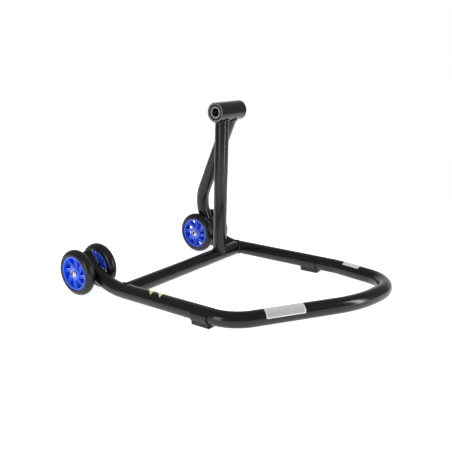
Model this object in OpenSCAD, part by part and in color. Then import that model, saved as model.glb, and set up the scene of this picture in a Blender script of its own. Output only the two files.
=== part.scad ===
// Paddock stand for a motorcycle with a single-sided swingarm.
// One bent tube forms the near side, the handle loop, the far side and the rear brace.
// A cross tube, a column and a bearing sleeve are welded to it. Two pairs of wheels carry it.
// X runs from the wheels towards the handle, Y across the stand, Z up.
// The origin is on the floor under the centre of the stand.

/* [Frame tubes] */
// Outside diameter of every frame tube
tube_d = 32; // [26:0.1:39]
// Wall thickness of the frame tubes
tube_wall = 2; // [1.5:0.25:3]
// Distance between the centre lines of the two side tubes
track = 395; // [329:1:474]
// Distance from the cross tube to the corner where the near side turns into the handle
side_len = 278; // [230:1:334]
// Radius of the cold bends, to the tube's centre line
bend_r = 78; // [65:1:90]
// How much the tube's wall draws in from each face at a bend
bend_step = 0.05; // [0.02:0.01:0.1]
// Length that the straight runs lap over the ends of the bends
bend_lap = 0.5; // [0.2:0.1:1]

/* [Handle loop] */
// Angle that the near corner turns through
grip_turn = 57.3; // [50:0.5:65]
// Angle that the nose turns through
nose_turn = 27.4; // [20:0.5:35]
// Radius of the gentle bend at the nose
nose_r = 230; // [150:5:260]
// Straight length between the nose and the far corner
nose_run = 8; // [4:1:30]
// How far the far side is drawn inwards at its front end
draw_in = 31; // [20:1:45]
// Angle of the drawn-in stretch
draw_turn = 11.1; // [8:0.1:16]

/* [Rear bends and brace] */
// Radius of the near side's bend that rises between its wheels
rear_r = 140; // [120:1:165]
// Angle of the near side's rear bend
rear_turn = 50; // [45:0.5:56]
// Distance behind the cross tube where the near side's rear bend starts
rear_start = 5; // [2:0.5:12]
// Straight stub of the near side tube after its rear bend
tail_len = 10; // [6:0.5:20]
// Radius of the far side's first rear bend, which passes over its axle
far_rear_r = 110; // [92:1:132]
// Angle of the far side's first rear bend
far_rear_turn = 40.5; // [34:0.5:48]
// Distance between the corners of the far side's two rear bends
brace_rise = 117.8; // [98:0.1:142]
// Straight length between the far side's two rear bends
brace_run = 1; // [0.5:0.5:4]
// How far forward of the sleeve axis the brace's centre line would come out
brace_lead = 6; // [0:0.5:8]
// Distance from the sleeve's far end to the brace's centre line
brace_from_end = 32.5; // [27:0.5:39]

/* [Column and pin sleeve] */
// Height of the pin's axis above the floor
pin_height = 367.3; // [306:0.1:441]
// Lean of the column towards the handle, in degrees
column_lean = 2.6; // [0:0.1:4]
// Distance from the far side tube to the column, centre to centre
column_inset = 77.5; // [70:0.5:90]
// Distance from the sleeve's near end to the column's centre line
column_from_end = 26; // [22:0.5:30]
// Length of the pin sleeve
sleeve_len = 90; // [80:1:110]
// Wall of the pin sleeve outside its bearings
sleeve_wall = 1.5; // [1.25:0.25:4]

/* [Pin bearings] */
// Bore of the pin bearings
pin_bore = 20; // [17:1:25]
// Outside diameter of the pin bearings
pin_bearing_d = 42; // [40:0.2:52]
// Width of the pin bearings
pin_bearing_w = 12; // [10:1:15]
// Thickness of a bearing ring's shoulder
ring_h = 3.6; // [3:0.1:4]
// Depth of the outer ring's shoulder
outer_ring_h = 2.4; // [2:0.1:3]
// Diameter of the bearing balls
ball_d = 7.9; // [6:0.1:9]
// Number of balls in one bearing
ball_count = 9; // [7:1:9]
// Distance that the bearings sit inside the sleeve's ends
bearing_inset = 0.5; // [0.25:0.25:1.5]
// Thickness of a bearing's rubber seal
seal_t = 0.8; // [0.6:0.1:1.2]

/* [Wheels] */
// Outside diameter of the tyres
wheel_d = 100; // [83:1:120]
// Diameter of the moulded core at the tyre's edge
core_d = 73.6; // [66:0.2:80]
// Width of the core's rim
core_w = 20; // [18:0.5:22]
// Width of the tyre
tyre_w = 23; // [21:0.5:25]
// Width of the hub
hub_w = 18; // [16:0.5:20]
// Outside diameter of the hub
hub_d = 29; // [26:0.5:34]
// Depth of the core's rim band
rim_h = 4; // [3:0.2:5]
// Number of double spokes
spoke_count = 8; // [6:1:9]
// Thickness of one spoke rib
rib_t = 2.4; // [1.8:0.1:3]
// Gap between the two ribs of a spoke
rib_gap = 2.6; // [1.6:0.1:3.4]
// Distance of a spoke's centre line from the wheel's axis
spoke_offset = 8.6; // [6:0.1:9.5]
// Width of the spokes along the axle
spoke_w = 13; // [10:0.5:16]
// Width of the panel between the two ribs of a spoke
panel_w = 9; // [7:0.5:11]
// Clearance between a tyre's flank and the side tube
wheel_gap = 3; // [2:0.25:6]

/* [Axles] */
// Diameter of the axle bolts
bolt_d = 8; // [8:1:10]
// Outside diameter of the bushes welded into the side tubes
bush_d = 16; // [14:0.5:18]
// Distance of the axle from the tube's centre line, on the outside of the bend
axle_drop = 14; // [10:0.5:16]
// Depth that the far bush is let into the wall of its tube
bush_bite = 0.5; // [0.2:0.1:1]
// Outside diameter of the sleeves that the hubs turn on
spacer_d = 12; // [12:0.5:14]
// Outside diameter of the axle washers
washer_d = 16; // [15:0.5:18]
// Thickness of the axle washers
washer_t = 1.4; // [1:0.1:2]
// Diameter of the bolt's button head
bolt_head_d = 14; // [13:0.5:17.5]
// Height of the bolt's button head
bolt_head_h = 4.4; // [3.5:0.1:5.5]
// Size of the hexagon socket, across flats
socket_af = 5; // [4:0.5:6]
// Size of the lock nut, across flats
nut_af = 13; // [13:1:17]
// Height of the lock nut
nut_h = 8; // [6.5:0.1:10]
// Length of bolt that stands out of the lock nut
bolt_tip = 2; // [1:0.5:4]

/* [Feet and trim] */
// How far the feet reach below the side tubes
foot_drop = 7; // [5:0.5:9]
// Length of a foot
foot_len = 40; // [30:1:50]
// Distance from the cross tube to the middle of the feet
foot_x = 212; // [170:1:220]
// Wall of a foot beside its tube
foot_wall = 2.6; // [2:0.1:3.5]
// Width of the flat sole
sole_w = 24; // [20:0.5:28]
// How far the foot's sides reach above the tube's centre line
foot_grip = 3.5; // [2:0.5:6]
// Diameter of the foot's screw
screw_d = 4; // [3:0.5:5]
// Length of the handle label
grip_label_len = 80; // [60:1:96]
// Length of the label on the far side tube
side_label_len = 43; // [30:1:52]
// Length of one triangular mark
mark_len = 17; // [13:0.5:21]
// Thickness of the labels
label_t = 0.25; // [0.15:0.05:0.4]

/* [Fits] */
// Radial clearance where a hub turns on its sleeve
running_gap = 0.08; // [0.04:0.01:0.1]
// Clearance between parts that are pressed, bonded or clamped together
seat_gap = 0.02; // [0.01:0.01:0.05]
// Gap between a coped tube end and the tube that it is welded to
weld_gap = 0.1; // [0.05:0.05:0.3]
// Gap between faces that move past each other
face_gap = 0.3; // [0.2:0.05:0.5]
// Radius of the weld beads
bead_r = 2.4; // [1.8:0.1:3]

/* [Hidden] */
$fn = 96;

eps = 0.5;
frame_black = [0.07, 0.07, 0.075];
rubber_black = [0.09, 0.09, 0.09];
core_blue = [0.05, 0.22, 0.85];
steel = [0.75, 0.75, 0.77];
label_silver = [0.72, 0.73, 0.74];
mark_yellow = [0.78, 0.82, 0.5];
weld_dark = [0.12, 0.12, 0.125];

// Frame path: the corners of the bent tube, from the near tail round to the sleeve
tube_r = tube_d / 2;
tube_in = tube_d - 2 * tube_wall;
tube_h = tube_r + foot_drop;
rear_trim = rear_r * tan(rear_turn / 2);
rise_dir = [-cos(rear_turn), 0, sin(rear_turn)];
rear_near = [-rear_start - rear_trim, 0, tube_h];
far_corner_turn = 180 - grip_turn - nose_turn - draw_turn;
nose_dir_angle = grip_turn + nose_turn;
nose_side = nose_r * tan(nose_turn / 2) + nose_run + bend_r * tan(far_corner_turn / 2);
far_y = track - draw_in;
nose_y = far_y - nose_side * sin(nose_dir_angle);
nose_x = side_len + nose_y / tan(grip_turn);
far_x = nose_x + nose_side * cos(nose_dir_angle);
draw_x = far_x - draw_in / tan(draw_turn);
sleeve_x = (pin_height - tube_h) * tan(column_lean);
column_y = track - column_inset;
sleeve_y = column_y - column_from_end;
sleeve_far_y = sleeve_y + sleeve_len;
brace_y = sleeve_far_y - brace_from_end;
sleeve_end = [sleeve_x + brace_lead, brace_y, pin_height];

// Axles: on the outside of the rear bends, at the wheels' centre height
axle_z = wheel_d / 2;
axle_lift = axle_z - tube_h;
axle_x = -rear_start - sqrt(pow(rear_r + axle_drop, 2) - pow(rear_r - axle_lift, 2));
far_drop = tube_r + bush_d / 2 - bush_bite;
far_rear_start = -axle_x - sqrt(pow(far_rear_r + far_drop, 2) - pow(far_rear_r - axle_lift, 2));
far_rear_trim = far_rear_r * tan(far_rear_turn / 2);
far_rise_dir = [-cos(far_rear_turn), 0, sin(far_rear_turn)];
rear_far = [-far_rear_start - far_rear_trim, track, tube_h];
brace_corner = rear_far + brace_rise * far_rise_dir;
brace_turn = acos(far_rise_dir * (sleeve_end - brace_corner) / norm(sleeve_end - brace_corner));
brace_r = (brace_rise - far_rear_trim - brace_run) / tan(brace_turn / 2);

corners = [
    rear_near + (rear_trim + tail_len) * rise_dir,
    rear_near,
    [side_len, 0, tube_h],
    [nose_x, nose_y, tube_h],
    [far_x, far_y, tube_h],
    [draw_x, track, tube_h],
    rear_far,
    brace_corner,
    sleeve_end];
bends = [0, rear_r, bend_r, nose_r, bend_r, bend_r, far_rear_r, brace_r, 0];

// Wheels and the stack of parts on each axle
wheel_y = tube_r + wheel_gap + tyre_w / 2;
spacer_len = hub_w + 2 * face_gap;
bush_half = wheel_y - spacer_len / 2 - washer_t;
stack_half = wheel_y + spacer_len / 2 + washer_t;

// Pin sleeve
bearing_r = pin_bearing_d / 2;
sleeve_r = bearing_r + sleeve_wall;
sleeve_bore_r = bearing_r - 3;
seat_depth = pin_bearing_w + bearing_inset;
pin_r = pin_bore / 2;
race_r = (pin_r + bearing_r) / 2;
spacer_y = sleeve_len - 2 * seat_depth;

// Whole stand's box, which sets the origin
far_centre_x = far_x - bend_r * tan(far_corner_turn / 2) * cos(nose_dir_angle)
    - bend_r * sin(nose_dir_angle);
front_x = far_centre_x + bend_r + tube_r;
rear_edge_x = axle_x - wheel_d / 2;
near_edge_y = -stack_half - bolt_head_h;
far_edge_y = track + stack_half + nut_h + bolt_tip;
origin = [(front_x + rear_edge_x) / 2, (near_edge_y + far_edge_y) / 2, 0];

// ---- Helpers ----

// Length 1 vector along v
function unit(v) = v / norm(v);

// Angle between the runs that meet at corner i of a path
function turn_at(path, i) =
    acos(unit(path[i] - path[i - 1]) * unit(path[i + 1] - path[i]));

// Length that the bend at corner i takes from each run
function trim_at(path, radii, i) =
    i == 0 || i == len(path) - 1 ? 0 : radii[i] * tan(turn_at(path, i) / 2);

// Move to the stand's own frame
module in_frame() {
    translate(-origin) children();
}

// Put the local X, Y and Z axes along x, y and z, with the origin at p
module axes_at(p, x, y, z) {
    multmatrix([
        [x.x, y.x, z.x, p.x],
        [x.y, y.y, z.y, p.y],
        [x.z, y.z, z.z, p.z],
        [0, 0, 0, 1]]) children();
}

// Put the local Z axis along dir at p, with the local Y axis square to side
module aim(p, dir, side) {
    z = unit(dir);
    x = unit(cross(side, z));
    axes_at(p, x, cross(z, x), z) children();
}

// Ring or disc of diameter d with a hole of diameter hole
module ring(d, hole) {
    difference() {
        circle(d = d);
        if (hole > 0) circle(d = hole);
    }
}

// Cylinder along +Y from y0 to y1 on the axis through x and z
module bar_y(x, z, y0, y1, d, hole = 0) {
    translate([x, y1, z]) rotate([90, 0, 0]) linear_extrude(y1 - y0) ring(d, hole);
}

// Solid of revolution about +Y: the outline's x is the radius and its y runs along +Y
module revolve_y(x, y, z) {
    translate([x, y, z]) rotate([-90, 0, 0]) rotate_extrude() children();
}

// Straight and bent stretches of a tube whose centre line has the given corners.
// The bends are a hair thinner than the runs, which lap over their ends.
module bent_tube(path, radii, d, hole, first, last) {
    for (i = [first : last - 1]) {
        run = unit(path[i + 1] - path[i]);
        start = path[i] + run * (trim_at(path, radii, i) - (i > 0 ? bend_lap : 0));
        end = path[i + 1]
            - run * (trim_at(path, radii, i + 1) - (i + 1 < len(path) - 1 ? bend_lap : 0));
        side = abs(run.z) > 0.9 ? [0, 1, 0] : [0, 0, 1];
        aim(start, run, side) linear_extrude(norm(end - start)) ring(d, hole);
    }
    for (i = [max(first, 1) : min(last, len(path) - 2)]) {
        run = unit(path[i] - path[i - 1]);
        next = unit(path[i + 1] - path[i]);
        normal = unit(cross(run, next));
        outward = cross(run, normal);
        start = path[i] - run * trim_at(path, radii, i);
        axes_at(start - outward * radii[i], outward, run, normal)
            rotate_extrude(angle = turn_at(path, i)) translate([radii[i], 0])
                ring(d - 2 * bend_step, hole > 0 ? hole + 2 * bend_step : 0);
    }
}

// Local X along the run from corner i, Y to its left and Z up
module on_run(i) {
    run = unit(corners[i + 1] - corners[i]);
    axes_at(corners[i], run, cross([0, 0, 1], run), [0, 0, 1]) children();
}

// Outline in Y and Z, drawn out along X
module along_x(x0, length) {
    translate([x0, 0, 0]) rotate([90, 0, 90]) linear_extrude(length) children();
}

// Thin patch on a tube that lies along X, from angle a0 to a1 above the left side
module tube_patch(x0, length, a0, a1) {
    translate([x0, 0, 0]) rotate([90, 0, 90]) rotate([0, 0, a0])
        rotate_extrude(angle = a1 - a0)
            translate([tube_r + seat_gap, 0]) square([label_t, length]);
}

// Distance along a branch, at angle t round it, to the surface of a main tube
function saddle_reach(t, base, dir, e1, e2, r, main_p, main_dir, main_r) =
    let (w = base + r * (cos(t) * e1 + sin(t) * e2) - main_p,
        wp = w - (w * main_dir) * main_dir,
        bp = dir - (dir * main_dir) * main_dir,
        a = bp * bp,
        b = wp * bp,
        c = wp * wp - main_r * main_r)
    (-b + sqrt(max(0, b * b - a * c))) / a;

// Rounded bead where a branch tube meets a main tube
module saddle_bead(base, dir, r, main_p, main_dir, main_r) {
    steps = 40;
    sides = 6;
    b = unit(dir);
    e1 = unit(cross(b, main_dir));
    e2 = cross(b, e1);
    line = [for (k = [0 : steps - 1])
        let (t = (k + 0.5) * 360 / steps)
        base + r * (cos(t) * e1 + sin(t) * e2)
            + b * saddle_reach(t, base, b, e1, e2, r, main_p, main_dir, main_r)];
    points = [for (k = [0 : steps - 1])
        let (tangent = unit(line[(k + 1) % steps] - line[(k + steps - 1) % steps]),
            n1 = unit(cross(tangent, b)),
            n2 = cross(tangent, n1))
        for (j = [0 : sides - 1])
            line[k] + bead_r * (cos(j * 360 / sides) * n1 + sin(j * 360 / sides) * n2)];
    faces = [for (k = [0 : steps - 1], j = [0 : sides - 1])
        let (k2 = (k + 1) % steps, j2 = (j + 1) % sides)
        each [
            [k * sides + j, k * sides + j2, k2 * sides + j2],
            [k * sides + j, k2 * sides + j2, k2 * sides + j]]];
    polyhedron(points, faces);
}

// ---- Welded frame ----

module main_tube() {
    color(frame_black) in_frame() difference() {
        bent_tube(corners, bends, tube_d, tube_in, 0, len(corners) - 1);
        for (y = [0, track]) {
            bar_y(axle_x, axle_z, y - tube_d, y + tube_d, bush_d + 2 * seat_gap);
            translate([foot_x, y, tube_h - tube_d]) cylinder(d = screw_d, h = tube_d);
        }
        bar_y(sleeve_x, pin_height, sleeve_y, sleeve_far_y, 2 * (sleeve_r + weld_gap));
    }
}

module cross_tube() {
    color(frame_black) in_frame() difference() {
        bar_y(0, tube_h, 0, track, tube_d, tube_in);
        for (first = [1, 5])
            bent_tube(corners, bends, tube_d + 2 * weld_gap, 0, first, first + 1);
    }
}

module column_tube() {
    base = [0, column_y, tube_h];
    top = [sleeve_x, column_y, pin_height];
    color(frame_black) in_frame() difference() {
        aim(base, top - base, [0, 1, 0]) linear_extrude(norm(top - base)) ring(tube_d, tube_in);
        bar_y(0, tube_h, column_y - tube_d, column_y + tube_d, tube_d + 2 * weld_gap);
        bar_y(sleeve_x, pin_height, column_y - tube_d, column_y + tube_d,
            2 * (sleeve_r + weld_gap));
    }
}

module pin_sleeve() {
    seat = bearing_r + seat_gap;
    chamfer = 0.6;
    color(frame_black) in_frame() revolve_y(sleeve_x, sleeve_y, pin_height) polygon([
        [seat, 0], [sleeve_r - chamfer, 0], [sleeve_r, chamfer],
        [sleeve_r, sleeve_len - chamfer], [sleeve_r - chamfer, sleeve_len],
        [seat, sleeve_len], [seat, sleeve_len - seat_depth],
        [sleeve_bore_r, sleeve_len - seat_depth], [sleeve_bore_r, seat_depth],
        [seat, seat_depth]]);
}

module weld_beads() {
    column_base = [0, column_y, tube_h];
    column_top = [sleeve_x, column_y, pin_height];
    brace_dir = corners[7] - corners[8];
    sleeve_bead_r = sleeve_r + max(0, bead_r + 0.2 - sleeve_wall);
    color(weld_dark) in_frame() {
        saddle_bead([0, 0, tube_h], [0, 1, 0], tube_r, [0, 0, tube_h], [1, 0, 0], tube_r);
        saddle_bead([0, track, tube_h], [0, -1, 0], tube_r, [0, track, tube_h], [1, 0, 0],
            tube_r);
        saddle_bead(column_base, column_top - column_base, tube_r, column_base, [0, 1, 0],
            tube_r);
        saddle_bead(column_top, column_base - column_top, tube_r, column_top, [0, 1, 0],
            sleeve_bead_r);
        saddle_bead(corners[8], brace_dir, tube_r, column_top, [0, 1, 0], sleeve_bead_r);
    }
}

module axle_bushes() {
    color(frame_black) in_frame()
        for (y = [0, track])
            bar_y(axle_x, axle_z, y - bush_half, y + bush_half, bush_d, bolt_d + 0.4);
}

// ---- Plastic trim, feet and labels ----

// Plug that closes the near side tube's end: a domed flange and a hollow spigot
module tail_cap() {
    flange = 2.4;
    dome = 1.6;
    spigot_r = tube_in / 2 - 0.1;
    dome_r = (tube_r * tube_r + dome * dome) / (2 * dome);
    color(rubber_black) in_frame() aim(corners[0], rise_dir, [0, 1, 0]) {
        translate([0, 0, seat_gap]) cylinder(r = tube_r, h = flange);
        intersection() {
            translate([0, 0, flange + seat_gap]) cylinder(r = tube_r, h = dome + eps);
            translate([0, 0, flange + seat_gap + dome - dome_r]) sphere(r = dome_r, $fn = 180);
        }
        translate([0, 0, -12]) linear_extrude(12 + flange / 2)
            ring(2 * spigot_r, 2 * (spigot_r - 2));
    }
}

// Section of a foot: a shoe that hugs the tube and ends in a flat sole
module foot_section() {
    shoe_r = tube_r + foot_wall;
    corner_r = 4;
    difference() {
        union() {
            intersection() {
                circle(r = shoe_r);
                translate([-shoe_r, -shoe_r]) square([2 * shoe_r, shoe_r + foot_grip]);
            }
            translate([-sole_w / 2 + corner_r, -tube_h])
                square([sole_w - 2 * corner_r, tube_h - tube_r + 2]);
            translate([-sole_w / 2, -tube_h + corner_r]) square([sole_w, tube_h - tube_r]);
            for (side = [-1, 1])
                translate([side * (sole_w / 2 - corner_r), -tube_h + corner_r])
                    circle(r = corner_r);
        }
        circle(r = tube_r + seat_gap);
    }
}

// Recesses in a foot's end, on both sides of the tube's lowest line
module foot_pockets() {
    for (side = [-1, 1])
        intersection() {
            translate([side * 8.2, -tube_h + 5]) circle(r = 2.6);
            translate([-tube_r, -tube_h + 2.2]) square([tube_d, tube_h]);
        }
}

module foot(y) {
    pocket = 8;
    color(rubber_black) in_frame() translate([foot_x, y, tube_h]) difference() {
        along_x(-foot_len / 2, foot_len) foot_section();
        along_x(-foot_len / 2 - eps, pocket + eps) foot_pockets();
        along_x(foot_len / 2 - pocket, pocket + eps) foot_pockets();
        translate([0, 0, -tube_h - eps]) cylinder(d = screw_d + 0.4, h = tube_h);
        translate([0, 0, -tube_h - eps]) cylinder(d = 2 * screw_d + 0.6, h = 3 + eps);
    }
}

module near_foot() { foot(0); }

module far_foot() { foot(track); }

// Pan-head screws that hold the feet, sunk into the soles
module foot_screws() {
    head_z = 0.8;
    color(steel) in_frame()
        for (y = [0, track]) translate([foot_x, y, head_z]) {
            difference() {
                cylinder(d = 2 * screw_d, h = 3 - head_z - seat_gap);
                translate([0, 0, -eps]) cylinder(d = 2.6, h = 1 + eps, $fn = 6);
            }
            cylinder(d = screw_d - 2 * seat_gap, h = foot_drop + tube_wall + 5 - head_z);
        }
}

module grip_label() {
    from_corner = 63.5;
    color(label_silver) in_frame() on_run(2) tube_patch(from_corner, grip_label_len, 87, 172);
}

module side_label() {
    from_corner = 95;
    color(label_silver) in_frame() on_run(4) tube_patch(from_corner, side_label_len, 52, 88);
}

// Two triangular stickers on top of the near side tube
module triangle_marks() {
    pitch = mark_len + 8;
    first_x = 67;
    up = tube_r * 0.28;
    down = tube_r * 0.64;
    color(mark_yellow) in_frame() translate([0, 0, tube_h])
        for (k = [0, 1]) intersection() {
            tube_patch(first_x + k * pitch, mark_len, 60, 150);
            translate([first_x + k * pitch, 0, 0]) linear_extrude(tube_d)
                polygon([[0, up], [mark_len - 0.1, up], [mark_len - 0.1, -down]]);
        }
}

// ---- Pin bearings ----

// Call the children once for each pin bearing, with Y along the axle from its face
module at_pin_bearings() {
    in_frame() for (y = [bearing_inset, sleeve_len - bearing_inset - pin_bearing_w])
        translate([0, sleeve_y + y, 0]) children();
}

// Section of a ring between two radii, with a groove for the balls
module grooved_ring(r0, r1, w) {
    groove_r = ball_d / 2 + 0.05;
    difference() {
        translate([r0, 0]) square([r1 - r0, w]);
        translate([race_r, w / 2]) circle(r = groove_r);
    }
}

module pin_outer_rings() {
    color(steel) at_pin_bearings() revolve_y(sleeve_x, 0, pin_height)
        grooved_ring(bearing_r - outer_ring_h, bearing_r, pin_bearing_w);
}

module pin_inner_rings() {
    color(steel) at_pin_bearings() revolve_y(sleeve_x, 0, pin_height)
        grooved_ring(pin_r, pin_r + ring_h, pin_bearing_w);
}

module pin_seals() {
    inset = 0.6;
    seal_in = pin_r + ring_h + face_gap;
    seal_out = bearing_r - outer_ring_h - seat_gap;
    color(rubber_black) at_pin_bearings() revolve_y(sleeve_x, 0, pin_height)
        for (y = [inset, pin_bearing_w - inset - seal_t])
            translate([seal_in, y]) square([seal_out - seal_in, seal_t]);
}

module pin_balls() {
    color(steel) at_pin_bearings() translate([sleeve_x, pin_bearing_w / 2, pin_height])
        for (k = [0 : ball_count - 1])
            rotate([0, k * 360 / ball_count, 0]) translate([race_r, 0, 0])
                sphere(d = ball_d, $fn = 32);
}

// Tube that keeps the two inner rings apart
module pin_spacer() {
    y0 = sleeve_y + seat_depth;
    color(steel) in_frame() bar_y(sleeve_x, pin_height, y0 + seat_gap,
        y0 + spacer_y - seat_gap, pin_bore + 6, pin_bore + 1);
}

// ---- Axles ----

// Button-head bolt through both wheels of a pair, with its head on the near side
module axle_bolt(y) {
    dome_r = (pow(bolt_head_d / 2, 2) + pow(bolt_head_h, 2)) / (2 * bolt_head_h);
    head_y = y - stack_half;
    tip_y = y + stack_half + nut_h + bolt_tip;
    color(steel) in_frame() difference() {
        union() {
            bar_y(axle_x, axle_z, head_y - eps, tip_y, bolt_d);
            intersection() {
                bar_y(axle_x, axle_z, head_y - bolt_head_h, head_y, bolt_head_d);
                translate([axle_x, head_y - bolt_head_h + dome_r, axle_z])
                    sphere(r = dome_r, $fn = 96);
            }
        }
        translate([axle_x, head_y - bolt_head_h / 3, axle_z]) rotate([90, 0, 0])
            cylinder(d = socket_af / cos(30), h = bolt_head_h, $fn = 6);
    }
}

module lock_nut(y) {
    hex_h = nut_h * 0.78;
    nut_y = y + stack_half + seat_gap;
    color(steel) in_frame() difference() {
        union() {
            translate([axle_x, nut_y, axle_z]) rotate([-90, 0, 0])
                cylinder(d = nut_af / cos(30), h = hex_h, $fn = 6);
            bar_y(axle_x, axle_z, nut_y + hex_h - eps, nut_y + nut_h, nut_af - 1.2);
        }
        bar_y(axle_x, axle_z, nut_y - eps, nut_y + nut_h + eps, bolt_d + 2 * seat_gap);
    }
}

// Washers outside the bush and outside the hub sleeves of one axle
module washers(y) {
    color(steel) in_frame() for (side = [-1, 1], inner = [bush_half, stack_half - washer_t]) {
        a = y + side * (inner + seat_gap);
        b = y + side * (inner + washer_t - seat_gap);
        bar_y(axle_x, axle_z, min(a, b), max(a, b), washer_d, bolt_d + 0.4);
    }
}

// Steel sleeves that the hubs turn on, one inside each wheel of an axle
module hub_sleeves(y) {
    half = spacer_len / 2 - seat_gap;
    color(steel) in_frame() for (side = [-1, 1])
        bar_y(axle_x, axle_z, y + side * wheel_y - half, y + side * wheel_y + half,
            spacer_d, bolt_d + 0.2);
}

module near_axle_bolt() { axle_bolt(0); }

module near_lock_nut() { lock_nut(0); }

module near_washers() { washers(0); }

module near_hub_sleeves() { hub_sleeves(0); }

module far_axle_bolt() { axle_bolt(track); }

module far_lock_nut() { lock_nut(track); }

module far_washers() { washers(track); }

module far_hub_sleeves() { hub_sleeves(track); }

// ---- Wheels ----

// Wheel parts are drawn about the axle with their middle at y = 0 and the outside at -Y
module at_wheel(y) {
    in_frame() translate([axle_x, y, axle_z]) rotate([90, 0, 0]) children();
}

// Call the children once for each spoke, turned to its place about the axle
module at_spokes() {
    for (k = [0 : spoke_count - 1]) rotate(14 + k * 360 / spoke_count) children();
}

// Outline of all the spokes' ribs, which run in pairs off-centre from the hub to the rim
module rib_outline() {
    reach = core_d / 2 - rim_h / 2;
    intersection() {
        at_spokes() for (side = [-1, 1])
            translate([-reach, spoke_offset + side * (rib_gap + rib_t) / 2 - rib_t / 2])
                square([reach, rib_t]);
        circle(r = reach);
    }
}

// Outline of the panels between the ribs, each reaching to the middle of its ribs
module panel_outline() {
    reach = core_d / 2 - rim_h / 2;
    intersection() {
        at_spokes() translate([-reach, spoke_offset - (rib_gap + rib_t) / 2])
            square([reach, rib_gap + rib_t]);
        circle(r = reach - 0.2);
    }
}

module wheel_core(y) {
    bore_r = spacer_d / 2 + running_gap;
    color(core_blue) at_wheel(y) difference() {
        union() {
            translate([0, 0, -core_w / 2]) linear_extrude(core_w)
                ring(core_d, core_d - 2 * rim_h);
            translate([0, 0, -hub_w / 2]) linear_extrude(hub_w) circle(d = hub_d);
            translate([0, 0, -spoke_w / 2]) linear_extrude(spoke_w) rib_outline();
            translate([0, 0, -panel_w / 2]) linear_extrude(panel_w) panel_outline();
        }
        translate([0, 0, -core_w]) cylinder(r = bore_r, h = 2 * core_w);
    }
}

// Rounded tyre moulded round the core
module tyre(y) {
    crown_r = tyre_w / 2 + 0.5;
    seat_r = core_d / 2 + seat_gap;
    color(rubber_black) at_wheel(y) rotate_extrude($fn = 180) intersection() {
        union() {
            translate([wheel_d / 2 - crown_r, 0]) circle(r = crown_r);
            translate([seat_r, -crown_r]) square([wheel_d / 2 - crown_r - seat_r, 2 * crown_r]);
        }
        translate([seat_r, -tyre_w / 2]) square([wheel_d, tyre_w]);
    }
}

module near_outer_core() { wheel_core(-wheel_y); }

module near_outer_tyre() { tyre(-wheel_y); }

module near_inner_core() { wheel_core(wheel_y); }

module near_inner_tyre() { tyre(wheel_y); }

module far_inner_core() { wheel_core(track - wheel_y); }

module far_inner_tyre() { tyre(track - wheel_y); }

module far_outer_core() { wheel_core(track + wheel_y); }

module far_outer_tyre() { tyre(track + wheel_y); }

main_tube();
cross_tube();
column_tube();
pin_sleeve();
weld_beads();
axle_bushes();
tail_cap();
near_foot();
far_foot();
foot_screws();
grip_label();
side_label();
triangle_marks();
pin_outer_rings();
pin_seals();
pin_balls();
pin_inner_rings();
pin_spacer();
near_axle_bolt();
near_lock_nut();
near_washers();
near_hub_sleeves();
far_axle_bolt();
far_lock_nut();
far_washers();
far_hub_sleeves();
near_outer_core();
near_outer_tyre();
near_inner_core();
near_inner_tyre();
far_inner_core();
far_inner_tyre();
far_outer_core();
far_outer_tyre();
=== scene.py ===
"""Looks of a paddock stand for a motorcycle with a single-sided swingarm.

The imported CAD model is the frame. Tubes, bearings, bolts and feet keep their CAD shape and get
better finishes. Weld beads, wheel cores, tyres, the tube plug and the handle label are new pieces.
"""

from __future__ import annotations

import logging
import math
from dataclasses import dataclass, field
from enum import Enum
from typing import Any

import bmesh
import bpy
import numpy as np
from mathutils import Matrix, Vector


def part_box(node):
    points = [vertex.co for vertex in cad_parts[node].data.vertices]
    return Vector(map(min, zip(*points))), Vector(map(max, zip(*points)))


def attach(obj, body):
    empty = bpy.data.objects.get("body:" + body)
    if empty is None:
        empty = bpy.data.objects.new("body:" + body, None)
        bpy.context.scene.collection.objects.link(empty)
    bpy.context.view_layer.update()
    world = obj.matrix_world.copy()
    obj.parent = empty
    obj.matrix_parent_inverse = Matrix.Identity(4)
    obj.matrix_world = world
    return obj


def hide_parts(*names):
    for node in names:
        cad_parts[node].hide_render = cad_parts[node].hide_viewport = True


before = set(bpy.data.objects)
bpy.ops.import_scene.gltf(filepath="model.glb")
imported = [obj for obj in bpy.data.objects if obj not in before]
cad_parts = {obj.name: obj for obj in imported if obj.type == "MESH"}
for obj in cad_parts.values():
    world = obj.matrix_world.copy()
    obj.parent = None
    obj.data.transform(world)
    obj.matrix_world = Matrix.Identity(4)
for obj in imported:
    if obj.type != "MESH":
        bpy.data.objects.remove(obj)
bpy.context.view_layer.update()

log = logging.getLogger("stand")
Colour = tuple[float, float, float]
Point = tuple[float, float, float]
MM = 0.001
TURN = 2 * math.pi
TOUCH_GAP = 0.02 * MM  # left between pieces that rest on each other
WHITE: Colour = (1.0, 1.0, 1.0)


# ---------------------------------------------------------------- shader graphs


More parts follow.
